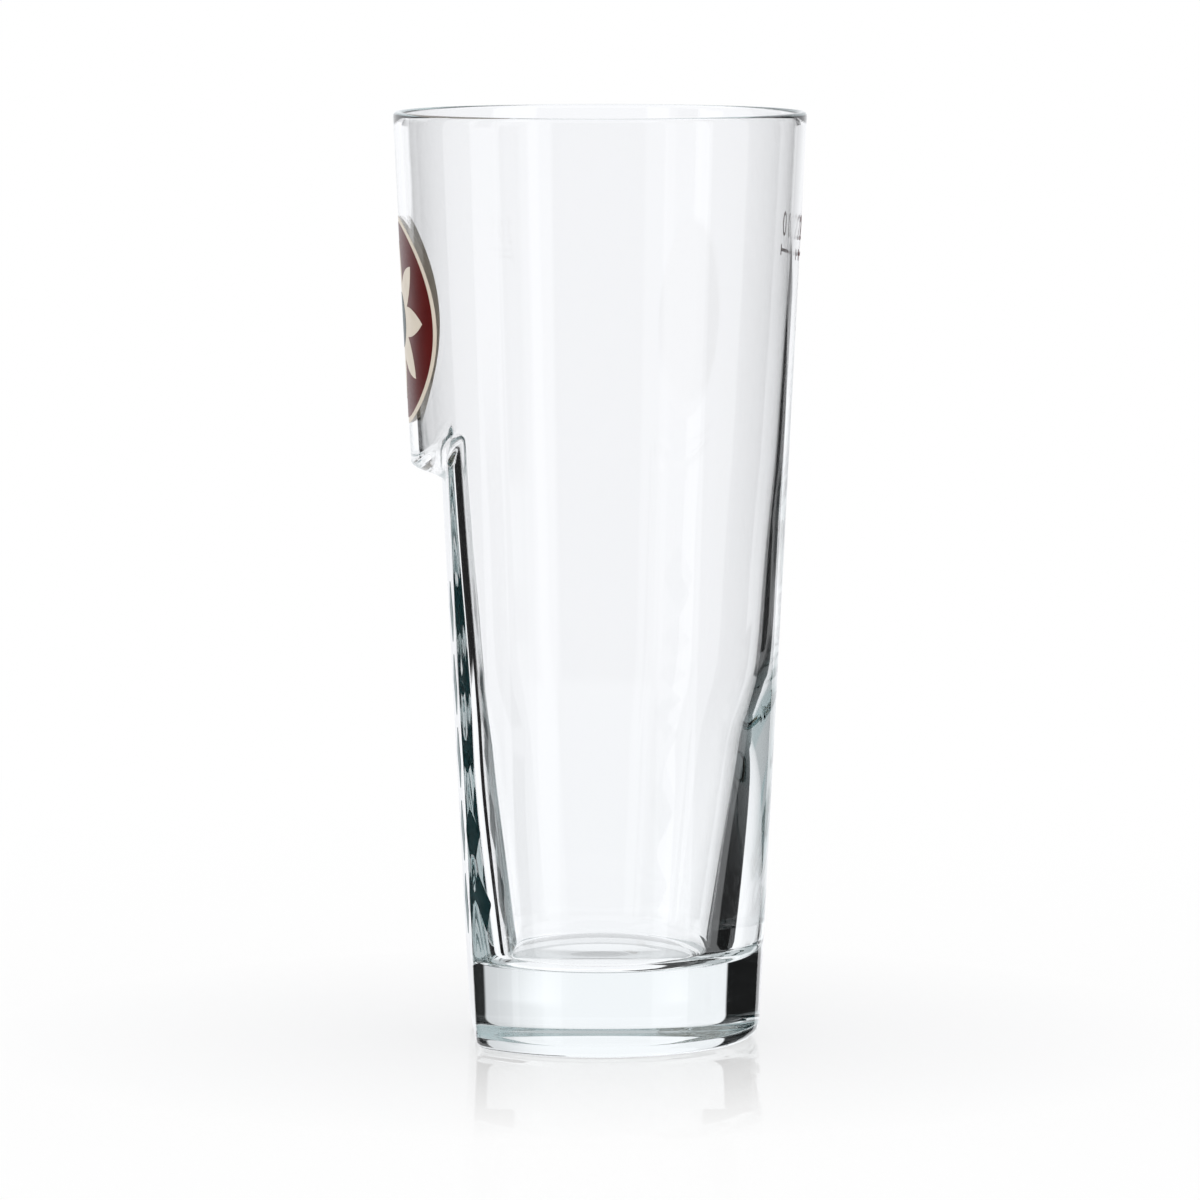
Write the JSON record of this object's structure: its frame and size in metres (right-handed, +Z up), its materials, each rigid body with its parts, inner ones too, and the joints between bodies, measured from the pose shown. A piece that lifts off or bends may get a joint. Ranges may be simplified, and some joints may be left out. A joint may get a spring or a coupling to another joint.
{
  "type": "highball glass",
  "caption": "Tall tapered clear glass tumbler with a heavy solid base, a flat panel moulded into one side under a ledge, and fired enamel prints: a round badge, panel lozenges and a fill mark.",
  "frame": {"origin": "centre of the foot on the table plane, on the glass's axis", "axes": "+Z up along the axis towards the rim; -X towards the moulded panel and the badge; +X towards the side with the fill mark"},
  "size_m": [0.063, 0.063, 0.142],
  "materials": {
    "clear_glass": "clear soda-lime glass, fire polished",
    "enamel_cream": "fired ceramic enamel, satin gloss",
    "enamel_oxblood": "fired ceramic enamel, satin gloss",
    "enamel_teal": "fired ceramic enamel, satin gloss",
    "enamel_russet": "fired ceramic enamel, thin line print"
  },
  "bodies": {
    "root": {"glass_body": "clear_glass", "badge_ground": "enamel_cream", "badge_field": "enamel_oxblood", "badge_rosette": "enamel_cream", "badge_centre": "enamel_teal", "panel_lozenge_1": "enamel_teal", "panel_lozenge_2": "enamel_teal", "panel_lozenge_3": "enamel_teal", "panel_lozenge_4": "enamel_teal", "panel_lozenge_5": "enamel_teal", "fill_line": "enamel_russet", "fill_numeral_1": "enamel_russet", "fill_numeral_2": "enamel_russet", "fill_numeral_3": "enamel_russet"}
  },
  "joints": []
}
